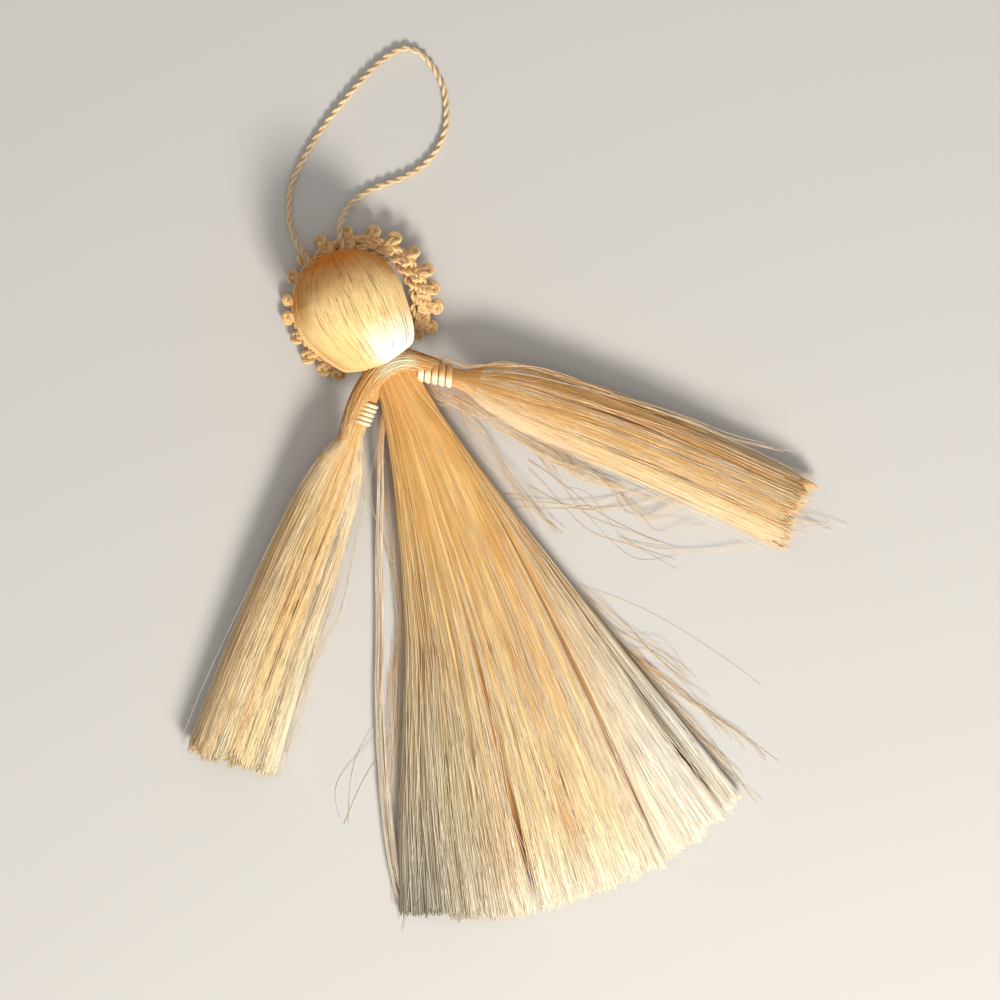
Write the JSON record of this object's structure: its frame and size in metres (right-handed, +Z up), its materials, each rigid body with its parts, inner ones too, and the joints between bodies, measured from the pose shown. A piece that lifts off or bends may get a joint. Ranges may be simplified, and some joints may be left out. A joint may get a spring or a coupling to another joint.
{
  "type": "tassel angel ornament",
  "caption": "Angel ornament of silky floss: wrapped ball head with a looped braid halo, fanned skirt and bound tassel arms, lying on its back with its hanging loop",
  "frame": {"origin": "the middle of the figure's footprint on the surface that it lies on, the hanging loop left out", "axes": "+Y runs from the hem to the crown, +X to the figure's arm at the picture's right, +Z up through the figure's front as it lies on its back"},
  "size_m": [0.1274, 0.1649, 0.0208],
  "materials": {
    "floss": "silky golden-peach floss",
    "braid": "looped gimp braid of twisted silky cord",
    "thread": "glossy wound thread",
    "cord": "pale two-ply twisted cord"
  },
  "bodies": {
    "root": {"head": "floss", "halo_braid": "braid", "neck_binding": "thread", "skirt": "floss", "left_arm": "floss", "right_arm": "floss", "left_arm_binding": "thread", "right_arm_binding": "thread", "hanging_loop": "cord"}
  },
  "joints": []
}
